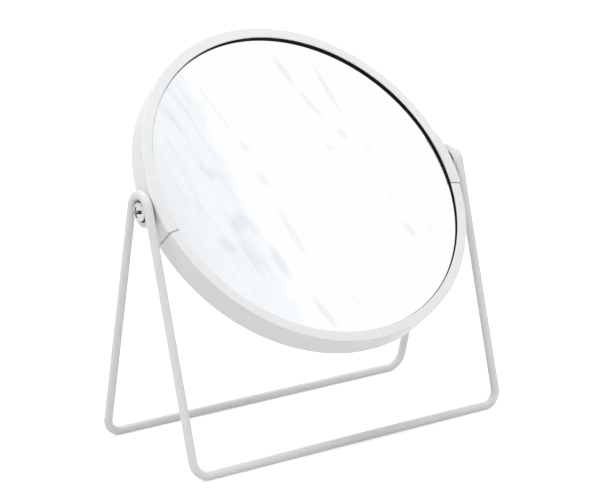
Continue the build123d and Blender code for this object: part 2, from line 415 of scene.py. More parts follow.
def rounded_outline(corners: Sequence[tuple[float, float]], radii: Sequence[float],
                    closed: bool = True, step_degrees: float = 10.0,
                    guard: float = 0.05) -> np.ndarray:
    """Outline through corners, each rounded by its own radius, with a point just outside each arc.

    The extra points keep the shading of the long flats even.

    Args:
        corners: Corner points as radius and depth, in millimetres.
        radii: Rounding radius of each corner, 0 for a sharp one.
        closed: Whether the last corner runs back to the first.
        step_degrees: Largest turn between neighbouring points of an arc.
        guard: Distance of the extra points from the arcs, in millimetres.

    Returns:
        Points of the outline, one per row.
    """
    points = np.array(corners, float)
    count = len(points)
    runs = []
    for at, radius in enumerate(radii):
        at_end = not closed and at in (0, count - 1)
        if radius == 0 or at_end:
            runs.append(points[at][None])
            continue
        before, after = points[at - 1], points[(at + 1) % count]
        arc, _, start = arc_corner(before, points[at], after, radius, step_degrees)
        leave = (after - points[at]) / np.linalg.norm(after - points[at])
        runs.append(np.concatenate([[arc[0] - start[1] * guard], arc, [arc[-1] + leave * guard]]))
    return np.concatenate(runs)


def grid_faces(rows: int, columns: int, wrap_rows: bool, wrap_columns: bool) -> np.ndarray:
    """Corner numbers of the quads of a grid of points, row by row.

    Args:
        rows: Number of rows of points.
        columns: Number of points in a row.
        wrap_rows: Whether the last row joins the first.
        wrap_columns: Whether the last point of a row joins its first.

    Returns:
        Four corner numbers per quad.
    """
    down, along = np.meshgrid(np.arange(rows if wrap_rows else rows - 1),
                              np.arange(columns if wrap_columns else columns - 1), indexing="ij")
    below, beside = (down + 1) % rows, (along + 1) % columns
    quads = np.stack([down * columns + along, below * columns + along,
                      below * columns + beside, down * columns + beside], axis=-1)
    return quads.reshape(-1, 4)


def make_piece(name: str, points: np.ndarray, faces: Sequence[Sequence[int]],
               sharp_degrees: float = CRISP_DEGREES) -> bpy.types.Object:
    """Makes a closed piece from points in millimetres and faces, with its normals outward.

    Points that lie together, as at poles and seams, are merged first.

    Args:
        name: Name of the piece.
        points: Points, one per row.
        faces: Corner numbers of each face.
        sharp_degrees: Edges that turn more than this stay crisp.

    Returns:
        The new object, at the origin.
    """
    mesh = bpy.data.meshes.new(name)
    places = np.asarray(points, float).reshape(-1, 3) * MM
    mesh.from_pydata(places.tolist(), [], [list(face) for face in faces])
    work = bmesh.new()
    work.from_mesh(mesh)
    bmesh.ops.remove_doubles(work, verts=work.verts, dist=MERGE_DISTANCE_M)
    bmesh.ops.recalc_face_normals(work, faces=work.faces)
    work.to_mesh(mesh)
    work.free()
    shade(mesh, sharp_degrees)
    piece = bpy.data.objects.new(name, mesh)
    bpy.context.scene.collection.objects.link(piece)
    return piece


def shade(mesh: bpy.types.Mesh, sharp_degrees: float) -> None:
    """Shades a mesh smooth, with edges crisp above an angle.

    Args:
        mesh: Mesh to shade.
        sharp_degrees: Edges that turn more than this stay crisp.
    """
    mesh.polygons.foreach_set("use_smooth", np.ones(len(mesh.polygons), bool))
    mesh.set_sharp_from_angle(angle=math.radians(sharp_degrees))
    mesh.update()


def combine(piece: bpy.types.Object, others: Sequence[bpy.types.Object],
            change: Change) -> None:
    """Cuts other closed shapes out of a piece or joins them to it, and throws them away.

    Args:
        piece: Piece to change.
        others: Shapes that change it.
        change: Whether they are cut out or joined.
    """
    for other in others:
        step = piece.modifiers.new(change.name.lower(), "BOOLEAN")
        step.operation = change.value
        step.solver = "EXACT"
        step.object = other
    depsgraph = bpy.context.evaluated_depsgraph_get()
    result = bpy.data.meshes.new_from_object(piece.evaluated_get(depsgraph))
    piece.modifiers.clear()
    old = piece.data
    piece.data = result
    result.name = piece.name
    bpy.data.meshes.remove(old)
    for other in others:
        bpy.data.objects.remove(other)
    shade(result, CRISP_DEGREES)


def flat_square(name: str, half: float) -> bpy.types.Object:
    """Makes a level square round the origin, for a card or a floor.

    Args:
        name: Name of the piece.
        half: Half of its side.

    Returns:
        The new object.
    """
    corners = np.array([(-half, -half, 0.0), (half, -half, 0.0), (half, half, 0.0),
                        (-half, half, 0.0)])
    return make_piece(name, corners, [[0, 1, 2, 3]])


def turned_to(right: np.ndarray, up: np.ndarray, out: np.ndarray) -> Matrix:
    """Turn that lays an object's own X, Y and Z along three given directions."""
    return Matrix(np.stack([right, up, out], axis=-1).tolist()).to_4x4()


def hand_over(piece: bpy.types.Object, material: bpy.types.Material, body: str, node: str) -> None:
    """Dresses a finished piece, puts it on its body and lets it stand for its CAD node.

    Args:
        piece: Finished piece.
        material: Material of the whole piece.
        body: Body that it rides on.
        node: CAD node that it stands for.
    """
    piece.data.materials.clear()
    piece.data.materials.append(material)
    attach(piece, body)
    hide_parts(node)
    LOG.info("%s: %d faces, stands for %s", piece.name, len(piece.data.polygons), node)


def turned_about_x(outline: np.ndarray, height: float, side: Side, sectors: int = 96) -> np.ndarray:
    """Turns an outline of distance along and distance from the pivot axis about that axis.

    A point at angle a is the distance along, then the distance from the axis times the cosine
    and the sine of a.

    Args:
        outline: Distances along and from the pivot axis, outward from the middle.
        height: Height of the pivot axis.
        side: Which side of the mirror.
        sectors: Points round the axis.

    Returns:
        Points as a grid of angles by outline points.
    """
    angle = np.linspace(0.0, 2 * math.pi, sectors, endpoint=False)[:, None]
    along = np.broadcast_to(outline[:, 0] * side.value, (sectors, len(outline)))
    reach = outline[:, 1]
    return np.stack([along, reach * np.cos(angle), height + reach * np.sin(angle)], axis=-1)


# The mirror's sizes and sub-assemblies


@dataclass(frozen=True)
class Head:
    """Driving sizes of the head, those that follow from them, and its place.

    A radius is measured from the head's axis and a depth forward of its middle plane.
    """

    pivot_height: float = 117.3
    lean_degrees: float = 40.0
    rim_radius: float = 85.0
    face_width: float = 5.15
    half_depth: float = 6.85
    face_fall: float = 0.1
    wall: float = 1.5
    flange: float = 1.2
    glass: float = 1.8
    glass_overlap: float = 1.45
    seal_foot: float = 0.3
    seal_skirt: float = 0.3
    clip_web: float = 1.55
    opening_drop: float = 0.4

    @property
    def opening_radius(self) -> float:
        """Radius of the opening in each face of the rim."""
        return self.rim_radius - self.face_width

    @property
    def channel_radius(self) -> float:
        """Radius of the channel inside the rim."""
        return self.rim_radius - self.wall

    @property
    def channel_half_depth(self) -> float:
        """Depth of the channel's side walls."""
        return self.half_depth - self.flange

    @property
    def mirror_face(self) -> float:
        """Depth of the reflecting face of each glass at its edge."""
        return self.channel_half_depth - self.seal_foot

    @property
    def glass_back(self) -> float:
        """Depth of the back of each glass at its edge."""
        return self.mirror_face - self.glass

    @property
    def glass_radius(self) -> float:
        """Radius of both glasses."""
        return self.opening_radius + self.glass_overlap

    @property
    def skirt_radius(self) -> float:
        """Outer radius of the seals."""
        return self.glass_radius + self.seal_skirt

    @property
    def clip_radius(self) -> float:
        """Outer radius of the clips."""
        return self.rim_radius + self.clip_web

    def world(self, across: np.ndarray, up: np.ndarray, forward: np.ndarray) -> np.ndarray:
        """Places points of the upright head in the leaning head.

        The head's up is the sine of the lean along +Y and the cosine along +Z; its forward is the
        cosine of the lean along -Y and the sine along +Z.

        Args:
            across: Distance along the pivot axis.
            up: Distance up the face of the head.
            forward: Distance forward of its middle plane.

        Returns:
            Points in the frame of the model.
        """
        across, up, forward = np.broadcast_arrays(across, up, forward)
        lean = math.radians(self.lean_degrees)
        cosine, sine = math.cos(lean), math.sin(lean)
        return np.stack([across, sine * up - cosine * forward,
                         self.pivot_height + cosine * up + sine * forward], axis=-1)

    def dropped(self, radius: np.ndarray, angle: np.ndarray) -> np.ndarray:
        """Radius of a place near the opening, whose middle lies a little below the rim's.

        The drop times the sine of the angle comes off the radius, in full at the opening and
        fading evenly to nothing at the glass's edge.

        Args:
            radius: Distances from the head's axis.
            angle: Angles from the right pivot.

        Returns:
            The moved distances.
        """
        share = np.clip((self.glass_radius - radius) / self.glass_overlap, 0.0, 1.0)
        return radius - self.opening_drop * share * np.sin(angle)

    def ring(self, radius: np.ndarray, angle: np.ndarray, forward: np.ndarray) -> np.ndarray:
        """Places points given as radius, angle from the right pivot and depth forward."""
        return self.world(radius * np.cos(angle), radius * np.sin(angle), forward)


@dataclass
class PivotHardware:
    """What lies on the pivot axis of each side: lug, washers and screw.

    The visible lug stands out further than its solid, by lug_proud, and the outer washer is as
    much thinner; head_rise lifts the screw's head and that washer, as the photograph shows them.
    """

    head: Head
    boss_height: float = 0.2
    inner_washer: float = 0.4
    outer_washer: float = 1.6
    play: float = 0.05
    lug_thickness: float = 1.0
    screw_radius: float = 2.5
    screw_passage: float = 0.15
    turning_fit: float = 0.08
    tip_beyond_seal: float = 0.2
    head_radius: float = 4.4
    washer_margin: float = 0.55
    boss_margin: float = 0.3
    lug_margin: float = 2.15
    lug_proud: float = 0.9
    inner_washer_inset: float = 0.8
    band: float = 0.9
    dome: float = 1.9
    slot_span: float = 7.0
    slot_width: float = 1.4
    slot_depth: float = 1.1
    wing_span: float = 4.6
    wing_width: float = 1.3
    recess_depth: float = 2.0
    recess_hub: float = 2.0
    recess_wall: float = 0.16
    recess_turn_degrees: float = -11.0
    head_rise: float = 0.5
    lug_edge: float = 0.22
    inner_washer_edge: float = 0.1
    outer_washer_edge: float = 0.12
    crown_edge: float = 0.12
    crown_run: float = 0.1
    screw_rounds: tuple[float, ...] = (0.0, 0.25, 0.2, 0.15, 0.4, 0.0)
    crown_points: int = 61
    screw_sectors: int = 192
    # Depth, front end and margins of the painted shade in the screw's recess.
    recess_shade_depth: float = 1.0
    recess_shade_end: float = 2.0
    recess_shade_seat_gap: float = 0.3
    recess_shade_edge_gap: float = 0.4
    recess_shade_wing_gap: float = 0.1

    @property
    def washer_radius(self) -> float:
        """Outer radius of the washer under the screw's head."""
        return self.head_radius + self.washer_margin

    @property
    def lug_radius(self) -> float:
        """Outer radius of the lug."""
        return self.washer_radius + self.lug_margin

    @property
    def boss_radius(self) -> float:
        """Radius of the flat boss on each clip."""
        return self.washer_radius + self.boss_margin

    @property
    def passage_radius(self) -> float:
        """Radius of the screw's way through everything but the lug."""
        return self.screw_radius + self.screw_passage

    @property
    def boss_face(self) -> float:
        """Distance of the boss's face from the middle."""
        return self.head.clip_radius + self.boss_height

    @property
    def lug_inner(self) -> float:
        """Distance of the lug's inner face from the middle."""
        return self.boss_face + self.inner_washer + self.play

    @property
    def lug_outer(self) -> float:
        """Distance of the lug's outer face from the middle."""
        return self.lug_inner + self.lug_thickness

    @property
    def head_seat(self) -> float:
        """Distance of the underside of the screw's head from the middle."""
        return self.lug_outer + self.play + self.outer_washer

    def disc(self, name: str, side: Side, start: float, thickness: float, bore: float,
             radius: float, edge: float, rise: float = 0.0) -> bpy.types.Object:
        """Flat bored disc with its four edges rounded.

        Args:
            name: Name of the piece.
            side: Which side of the mirror.
            start: Distance of its inner face from the middle.
            thickness: Its thickness.
            bore: Radius of its hole.
            radius: Its outer radius.
            edge: Rounding of its edges.
            rise: How far its middle lies above the pivot axis.

        Returns:
            The piece.
        """
        end = start + thickness
        corners = [(start, bore), (end, bore), (end, radius), (start, radius)]
        outline = rounded_outline(corners, [edge] * 4, step_degrees=22.5, guard=0.03)
        rings = turned_about_x(outline, self.head.pivot_height + rise, side)
        return make_piece(name, rings, grid_faces(*rings.shape[:2], True, True))

    def recess(self, across: np.ndarray, up: np.ndarray) -> np.ndarray:
        """Depth of the recess at places on the screw's head: a long slot and a deeper, short cross.

        The slot and each wing pair of the cross is the product of two steps, one at its half width
        and one at its half length, each a straight ramp as wide as the recess's wall; the hub is a
        ramp at its radius. The depth is the deepest of them.

        Args:
            across: Distance from the axis along the slot.
            up: Distance from the axis square to it.

        Returns:
            Depth at each place.
        """
        def within(distance: np.ndarray, limit: float) -> np.ndarray:
            """1 inside a limit and 0 outside it, with a ramp between."""
            return np.clip((limit - np.abs(distance)) / self.recess_wall, 0.0, 1.0)

        wall = self.recess_wall
        slot = within(across, self.slot_span / 2 + wall) * within(up, self.slot_width / 2 + wall)
        half, reach = self.wing_width / 2 + wall, self.wing_span / 2 + wall
        wings = np.maximum(within(across, reach) * within(up, half),
                           within(up, reach) * within(across, half))
        hub = within(np.hypot(across, up), self.recess_hub / 2 + wall)
        return np.maximum(self.slot_depth * slot, self.recess_depth * np.maximum(wings, hub))

    def slot_places(self, depth_y: np.ndarray,
                    height_z: np.ndarray) -> tuple[np.ndarray, np.ndarray]:
        """Turns places on the screw's head into distances along the slot and square to it.

        Args:
            depth_y: Distance from the axis along Y.
            height_z: Distance from the axis along Z.

        Returns:
            Distances along the slot, rearward, and square to it, upward.
        """
        turn = math.radians(self.recess_turn_degrees)
        across = depth_y * math.cos(turn) + height_z * math.sin(turn)
        return across, height_z * math.cos(turn) - depth_y * math.sin(turn)

    def screw(self, side: Side) -> bpy.types.Object:
        """Pan head screw: an outline turned about the axis, its crown then sunk by the recess.

        The crown is part of a sphere: its height at a radius is the sphere's centre plus the root
        of the sphere's radius squared less the radius squared. The head sits a little above the
        shank, as the photograph shows it; the washer under it goes with it.

        Args:
            side: Which side of the mirror.

        Returns:
            The piece.
        """
        seat, tip = self.head_seat, self.head.skirt_radius + self.tip_beyond_seal
        band_end = seat + self.band
        sphere = (self.head_radius ** 2 + self.dome ** 2) / (2 * self.dome)
        crown_radius = np.linspace(0.0, self.head_radius - self.crown_edge, self.crown_points)
        crown_height = band_end + self.dome - sphere + np.sqrt(sphere ** 2 - crown_radius ** 2)
        rest = rounded_outline([
            (crown_height[-1], crown_radius[-1]),
            (band_end - self.crown_run, self.head_radius),
            (seat, self.head_radius),
            (seat, self.screw_radius),
            (tip, self.screw_radius),
            (tip, 0.0),
        ], self.screw_rounds, closed=False, step_degrees=15.0)
        outline = np.concatenate([np.stack([crown_height, crown_radius], axis=-1), rest[1:]])
        rings = turned_about_x(outline, self.head.pivot_height, side, self.screw_sectors)
        across, up = self.slot_places(rings[..., 1], rings[..., 2] - self.head.pivot_height)
        on_crown = np.arange(len(outline)) < len(crown_radius)
        rings[..., 0] -= side.value * self.recess(across, up) * on_crown
        rings[..., 2] += self.head_rise * (side.value * rings[..., 0] > seat - 0.01)
        piece = make_piece(f"pan_screw_{side.name.lower()}", rings,
                           grid_faces(*rings.shape[:2], True, False), sharp_degrees=30.0)
        # Paints shade into the recess, darker where it is deeper.
        self.paint_recess_shade(piece, band_end + self.dome - sphere, sphere)
        return piece

    def paint_recess_shade(self, piece: bpy.types.Object, centre: float, sphere: float) -> None:
        """Writes how much painted shade lies on each point of the recess, as the attribute "sunk".

        The crown's height over a point is the sphere's centre plus the root of the sphere's radius
        squared less the squared distance from the axis. The painted shade is the square of the depth
        below it, at most 1. It is kept in the short wings above and below the slot. In the front of
        the slot it fades out as a smooth step over the millimetre before its given end, and the
        slot's rear end is left without painted shade.

        Args:
            piece: The screw.
            centre: Distance of the sphere's centre from the middle of the mirror.
            sphere: Radius of the sphere.
        """
        count = len(piece.data.vertices)
        place = np.empty(count * 3)
        piece.data.vertices.foreach_get("co", place)
        along, depth_y, height_z = place.reshape(-1, 3).T / MM
        height_z = height_z - self.head.pivot_height - self.head_rise
        reach = np.hypot(depth_y, height_z)
        crown = centre + np.sqrt(sphere ** 2 - np.minimum(reach, self.head_radius) ** 2)
        on_head = ((np.abs(along) > self.head_seat + self.recess_shade_seat_gap)
                   & (reach < self.head_radius - self.recess_shade_edge_gap))
        across, up = self.slot_places(depth_y, height_z)
        front = np.clip(self.recess_shade_end - across, 0.0, 1.0)
        in_wings = np.abs(up) > self.slot_width / 2 + self.recess_shade_wing_gap
        share = np.maximum(front * front * (3.0 - 2.0 * front), in_wings)
        sunk = np.clip(crown - np.abs(along), 0.0, self.recess_shade_depth) ** 2 * on_head * share
        piece.data.attributes.new("sunk", "FLOAT", "POINT").data.foreach_set("value", sunk)

    def build(self, side: Side, coat: bpy.types.Material, nickel: bpy.types.Material,
              nylon: bpy.types.Material) -> None:
        """Builds and dresses the hardware of one side.

        Args:
            side: Which side of the mirror.
            coat: Finish of the lug.
            nickel: Finish of the screw.
            nylon: Finish of the washers.
        """
        name = side.name.lower()
        lug = self.disc(f"loop_lug_{name}", side, self.lug_inner,
                        self.lug_thickness + self.lug_proud, self.screw_radius + self.turning_fit,
                        self.lug_radius, self.lug_edge)
        hand_over(lug, coat, "stand", f"{name}_pivot_lug")
        # The inner washer reaches out into the slit beside the loop, where its black is painted
        # shade.
        inner = self.disc(f"friction_washer_inner_{name}", side, self.boss_face,
                          self.inner_washer, self.passage_radius,
                          self.lug_radius - self.inner_washer_inset, self.inner_washer_edge)
        hand_over(inner, nylon, "head", f"{name}_inner_washer")
        # The outer washer's black also fills the gap over the screw's head, as painted shade.
        outer = self.disc(f"friction_washer_outer_{name}", side,
                          self.lug_outer + self.lug_proud + self.play,
                          self.outer_washer - self.lug_proud, self.passage_radius,
                          self.washer_radius, self.outer_washer_edge, self.head_rise)
        hand_over(outer, nylon, "head", f"{name}_outer_washer")
        hand_over(self.screw(side), nickel, "head", f"{name}_pivot_screw")


@dataclass
class WireStand:
    """The stand: one coated steel wire, bent to loops, legs and bars and closed into a ring."""

    hardware: PivotHardware
    wire_diameter: float = 4.2
    bar_half_depth: float = 39.1
    side_spread: float = 1.1
    left_loop_above_pivot: float = 0.9
    right_loop_above_pivot: float = -0.05
    loop_clearance: float = 0.25
    corner_radius: float = 7.6
    weld_depth: float = 0.4
    sides: int = 40
    step_degrees: float = 4.0

    def corners(self, side: Side) -> tuple[np.ndarray, list[float]]:
        """Sharp corners of half the wire, from the middle of the front bar to the rear.

        The legs touch the loop's circle: their slope is the slope to the loop's centre less the
        angle whose sine is the loop's radius over the distance to its centre. The bent wire isn't
        quite even, so each side has its own height of loop.

        Args:
            side: Which loop's height is taken; the corners lie on the right.

        Returns:
            The corner points and the bend radius at each inner one.
        """
        low = self.wire_diameter / 2
        pivot_height = self.hardware.head.pivot_height
        loop_radius = self.hardware.washer_radius + self.loop_clearance + low
        foot = self.hardware.lug_outer - self.weld_depth + low - self.side_spread
        above = self.left_loop_above_pivot if side is Side.LEFT else self.right_loop_above_pivot
        rise = pivot_height + above - low
        slope = (math.atan2(self.bar_half_depth, rise)
                 - math.asin(loop_radius / math.hypot(self.bar_half_depth, rise)))
        apex = low + self.bar_half_depth / math.tan(slope)
        spread = self.side_spread / (pivot_height - low)
        points = np.array([
            [0.0, -self.bar_half_depth, low],
            [foot, -self.bar_half_depth, low],
            [foot + spread * (apex - low), 0.0, apex],
            [foot, self.bar_half_depth, low],
            [0.0, self.bar_half_depth, low],
        ])
        return points, [self.corner_radius, loop_radius, self.corner_radius]

    def half_tube(self, side: Side) -> np.ndarray:
        """Surface of one half: a circle carried along straight runs and arcs without twist.

        Through each arc the circle's own direction turns about the arc's axis by the same angle as
        the wire does: it is its part along the axis, plus the rest times the cosine of the angle,
        plus the axis crossed with it times the sine.

        Args:
            side: Which half; both are drawn on the right.

        Returns:
            Points as a grid of rings by points round the wire.
        """
        points, radii = self.corners(side)
        centres = [points[0][None]]
        normals = [np.array([[0.0, 0.0, 1.0]])]
        tangents = [np.array([[1.0, 0.0, 0.0]])]
        for at, radius in enumerate(radii, start=1):
            arc, turned, start = arc_corner(points[at - 1], points[at], points[at + 1], radius,
                                            self.step_degrees)
            axis = np.cross(start[0], start[1])
            sway = normals[-1][-1]
            along_axis = axis * (axis @ sway)
            cosine, sine = np.cos(turned)[:, None], np.sin(turned)[:, None]
            centres.append(arc)
            normals.append(along_axis + (sway - along_axis) * cosine + np.cross(axis, sway) * sine)
            tangents.append(start[1] * cosine - start[0] * sine)
        centres.append(points[-1][None])
        normals.append(normals[-1][-1:])
        tangents.append(np.array([[-1.0, 0.0, 0.0]]))
        centre, normal, tangent = (np.concatenate(part) for part in (centres, normals, tangents))
        sideways = np.cross(tangent, normal)
        angle = np.linspace(0.0, 2 * math.pi, self.sides, endpoint=False)[None, :, None]
        spokes = np.cos(angle) * normal[:, None] + np.sin(angle) * sideways[:, None]
        return centre[:, None] + self.wire_diameter / 2 * spokes

    def build(self, finish: bpy.types.Material) -> None:
        """Builds the whole wire: the right half, then the left one, mirrored and run backwards.

        Args:
            finish: Finish of the wire.
        """
        right = self.half_tube(Side.RIGHT)
        left = self.half_tube(Side.LEFT)[-2:0:-1] * np.array([-1.0, 1.0, 1.0])
        rings = np.concatenate([right, left])
        faces = grid_faces(len(rings), self.sides, True, True)
        piece = make_piece("bent_wire_frame", rings, faces, sharp_degrees=60.0)
        hand_over(piece, finish, "stand", "wire_stand")


@dataclass(frozen=True)
class ClipForm:
    """How far a clip stands off the rim's wall.

    web is the full thickness and end_web the thickness at the upper end; taper is the thickness
    gained per millimetre from there, and upper_round the rounding of the upper corner.
    """

    web: float
    end_web: float
    taper: float
    upper_round: float


@dataclass
class ChannelRim:
    """Rim of the head: two moulded halves of a channel and the clips over their joints."""

    head: Head
    hardware: PivotHardware
    front_round: float = 0.4
    rear_round: float = 0.9
    inner_round: float = 0.3
    joint_gap: float = 0.1
    clip_cheek: float = 0.35
    clip_end_cheek: float = 0.02
    clip_end_web: float = 0.01
    clip_round: float = 0.9
    clip_half_angle: float = 10.1
    clip_lower_round: float = 0.8
    clip_feather: float = 4.0
    left_clip: ClipForm = ClipForm(web=1.05, end_web=0.2, taper=0.08, upper_round=1.2)
    right_clip: ClipForm = ClipForm(web=1.15, end_web=1.15, taper=0.0, upper_round=1.3)
    seam_width: float = 0.42
    seam_depth: float = 0.9
    channel_rounds: tuple[float, ...] = (0.15, 0.2, 0.2, 0.15)
    boss_root: float = 0.3
    boss_round: float = 0.15
    half_points: int = 181
    clip_points: int = 97
    passage_sectors: int = 64

    def passage(self, side: Side) -> bpy.types.Object:
        """Round cutter along the pivot axis, for the screw's way through.

        Args:
            side: Which side of the mirror.

        Returns:
            The cutter.
        """
        start, end = self.head.opening_radius, self.hardware.boss_face + 1.0
        radius = self.hardware.passage_radius
        outline = np.array([(start, 0.0), (start, radius), (end, radius), (end, 0.0)])
        rings = turned_about_x(outline, self.head.pivot_height, side, self.passage_sectors)
        return make_piece("cutter", rings, grid_faces(*rings.shape[:2], True, False))

    def half(self, half: Half) -> bpy.types.Object:
        """One half of the rim: the channel's closed outline carried round half a turn.

        The half ends on a flat plane, so each point of the outline starts at the angle whose sine
        is half the joint's gap over its radius, and shares the rest of the half turn evenly.

        Args:
            half: Which half.

        Returns:
            The piece.
        """
        head = self.head
        fall = head.half_depth - head.face_fall
        outline = rounded_outline([
            (head.opening_radius, head.half_depth), (head.rim_radius, fall),
            (head.rim_radius, -fall), (head.opening_radius, -head.half_depth),
            (head.opening_radius, -head.channel_half_depth),
            (head.channel_radius, -head.channel_half_depth),
            (head.channel_radius, head.channel_half_depth),
            (head.opening_radius, head.channel_half_depth),
        ], [self.inner_round, self.front_round, self.rear_round, self.inner_round,
            *self.channel_rounds], step_degrees=9.0)
        radius, depth = outline[:, 0], outline[:, 1]
        start = np.arcsin(self.joint_gap / 2 / radius)
        share = np.linspace(0.0, 1.0, self.half_points)[:, None]
        angle = half.value * (start + share * (math.pi - 2 * start))
        rings = head.ring(head.dropped(radius, angle), angle, depth)
        rows, columns = rings.shape[:2]
        faces = grid_faces(rows, columns, False, True).tolist()
        faces.append(list(range(columns)))
        faces.append(list(range((rows - 1) * columns, rows * columns)))
        piece = make_piece(f"rim_half_{half.name.lower()}", rings, faces)
        cutters = [self.passage(side) for side in Side]
        if half is Half.LOWER:
            cutters += [self.seam(side) for side in Side]
        combine(piece, cutters, Change.CUT)
        return piece

    def seam(self, side: Side) -> bpy.types.Object:
        """Cutter of the groove below a clip, where the clip's end is drawn down into the rim.

        Args:
            side: Which side of the mirror.

        Returns:
            The cutter.
        """
        start = math.radians(self.clip_half_angle)
        end = start + self.seam_width / self.head.rim_radius
        angle = np.linspace(-end, -start, 4)[:, None]
        outer, inner = (self.saddle(off, off, self.front_round) for off in (1.0, -self.seam_depth))
        return self.band("cutter", side, angle, outer, inner)

    def band(self, name: str, side: Side, angle: np.ndarray, outer: np.ndarray,
             inner: np.ndarray) -> bpy.types.Object:
        """Closed band round part of the rim between two open outlines.

        Args:
            name: Name of the piece.
            side: Which side of the mirror.
            angle: Angles from the pivot, one per row, as a column.
            outer: Radius and depth of the outer outline, for all rows or row by row.
            inner: The same of the inner outline.

        Returns:
            The piece.
        """
        head = self.head
        turned = angle if side is Side.RIGHT else math.pi - angle
        skin, lining = (head.ring(head.dropped(line[..., 0], turned), turned, line[..., 1])
                        for line in (outer, inner))
        loops = np.concatenate([skin, lining[:, ::-1]], axis=1)
        rows, columns = loops.shape[:2]
        faces = grid_faces(rows, columns, False, True).tolist()
        strip = np.arange(columns // 2 - 1)
        ends = np.stack([strip, strip + 1, columns - 2 - strip, columns - 1 - strip], axis=-1)
        for row in (0, rows - 1):
            faces += (ends + row * columns).tolist()
        return make_piece(name, loops, faces)

    def saddle(self, web: float, cheek: float, front_round: float) -> np.ndarray:
        """Open outline of a saddle that stands off the rim by a web and a cheek.

        Args:
            web: Distance off the rim's outer wall.
            cheek: Distance off the rim's two faces.
            front_round: Rounding of its front edge.

        Returns:
            Radius and depth of each point, from the front inner edge to the rear one.
        """
        head = self.head
        outer, depth = head.rim_radius + web, head.half_depth + cheek
        return rounded_outline([
            (head.opening_radius, depth), (outer, depth - head.face_fall),
            (outer, head.face_fall - depth), (head.opening_radius, -depth),
        ], [0, front_round, self.rear_round, 0], closed=False, step_degrees=9.0)

    def clip(self, side: Side) -> bpy.types.Object:
        """Saddle clip: an outer and an inner outline carried round the joint, joined at the edges.

        Towards each end the outer outline draws in to round the corner: within the corner's
        radius of the end it may reach no further than the outer radius less the corner's radius,
        plus the root of that radius squared less the squared distance into the corner. From the
        upper end the web grows in proportion to the distance until it is full, and the cheeks
        grow as a smooth step of that distance, so the clip rises out of the rim without a kerb.
        A point of the outline takes as much of the web as its share of the way across the rim's
        face, so the cheeks keep to the opening's edge whatever the web.

        Args:
            side: Which side of the mirror.

        Returns:
            The piece, with its boss and its hole.
        """
        head = self.head
        outer_radius = head.clip_radius
        limit = math.radians(self.clip_half_angle)
        angle = np.sin(np.linspace(-0.5, 0.5, self.clip_points) * math.pi)[:, None] * limit
        from_top = (limit - angle) * outer_radius
        share = np.clip(from_top / self.clip_feather, 0.0, 1.0)[..., None]
        full = self.saddle(0.0, self.clip_cheek, self.clip_round)
        thin = self.saddle(0.0, self.clip_end_cheek, self.clip_round)
        outer = thin + (full - thin) * share * share * (3.0 - 2.0 * share)
        inner = np.broadcast_to(self.saddle(0.0, 0.0, self.front_round), outer.shape)
        form = self.left_clip if side is Side.LEFT else self.right_clip
        standing = np.minimum(form.web, form.end_web + form.taper * from_top)
        reach_out = np.clip((outer[..., 0] - head.opening_radius) / head.face_width, 0.0, 1.0)
        outer = np.stack([outer[..., 0] + standing * reach_out, outer[..., 1]], axis=-1)
        corner = np.where(angle > 0, form.upper_round, self.clip_lower_round)
        into = np.clip(corner - (limit - np.abs(angle)) * outer_radius, 0.0, corner)
        reach = head.rim_radius + form.web - corner + np.sqrt(corner ** 2 - into ** 2)
        least = inner[..., 0] + self.clip_end_web
        radius = np.minimum(outer[..., 0], np.maximum(reach, least))
        skin = np.stack([radius, outer[..., 1]], axis=-1)
        piece = self.band(f"joint_clip_{side.name.lower()}", side, angle, skin, inner)
        self.add_boss(piece, side)
        combine(piece, [self.passage(side)], Change.CUT)
        return piece

    def add_boss(self, piece: bpy.types.Object, side: Side) -> None:
        """Joins the flat bearing boss to a clip.

        Args:
            piece: The clip.
            side: Which side of the mirror.
        """
        root, face = self.head.rim_radius + self.boss_root, self.hardware.boss_face
        radius = self.hardware.boss_radius
        outline = rounded_outline([(root, 0.0), (root, radius), (face, radius), (face, 0.0)],
                                  [0, 0, self.boss_round, 0], closed=False, step_degrees=22.5)
        rings = turned_about_x(outline, self.head.pivot_height, side)
        boss = make_piece("boss", rings, grid_faces(*rings.shape[:2], True, False))
        combine(piece, [boss], Change.JOIN)

    def build(self, rim: bpy.types.Material, clip: bpy.types.Material) -> None:
        """Builds and dresses both halves and both clips.

        Args:
            rim: Finish of the halves.
            clip: Finish of the clips.
        """
        for half in Half:
            hand_over(self.half(half), rim, "head", f"{half.name.lower()}_rim")
        for side in Side:
            node = f"{side.name.lower()}_pivot_clip"
            hand_over(self.clip(side), clip, "head", node)


